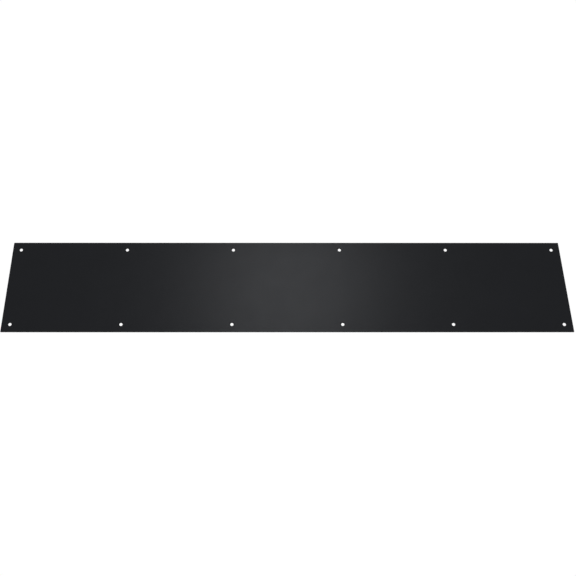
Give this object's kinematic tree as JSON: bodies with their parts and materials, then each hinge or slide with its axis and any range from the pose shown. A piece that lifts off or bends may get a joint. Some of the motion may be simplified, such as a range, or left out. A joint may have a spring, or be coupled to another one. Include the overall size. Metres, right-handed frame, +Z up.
{
  "type": "door kick plate",
  "caption": "Flat rectangular door kick plate in thin black-coated sheet metal, with countersunk screw holes in two rows along its long edges.",
  "frame": {"origin": "centre of the back face, which lies against the door", "axes": "+X along the plate, +Z up its height as fitted on the door, show face towards -Y and back face towards +Y"},
  "size_m": [0.8636, 0.0013, 0.1524],
  "materials": {
    "black_coating": "satin black powder coat with a faint orange peel, on all faces"
  },
  "bodies": {
    "root": {"plate": "black_coating"}
  },
  "joints": []
}
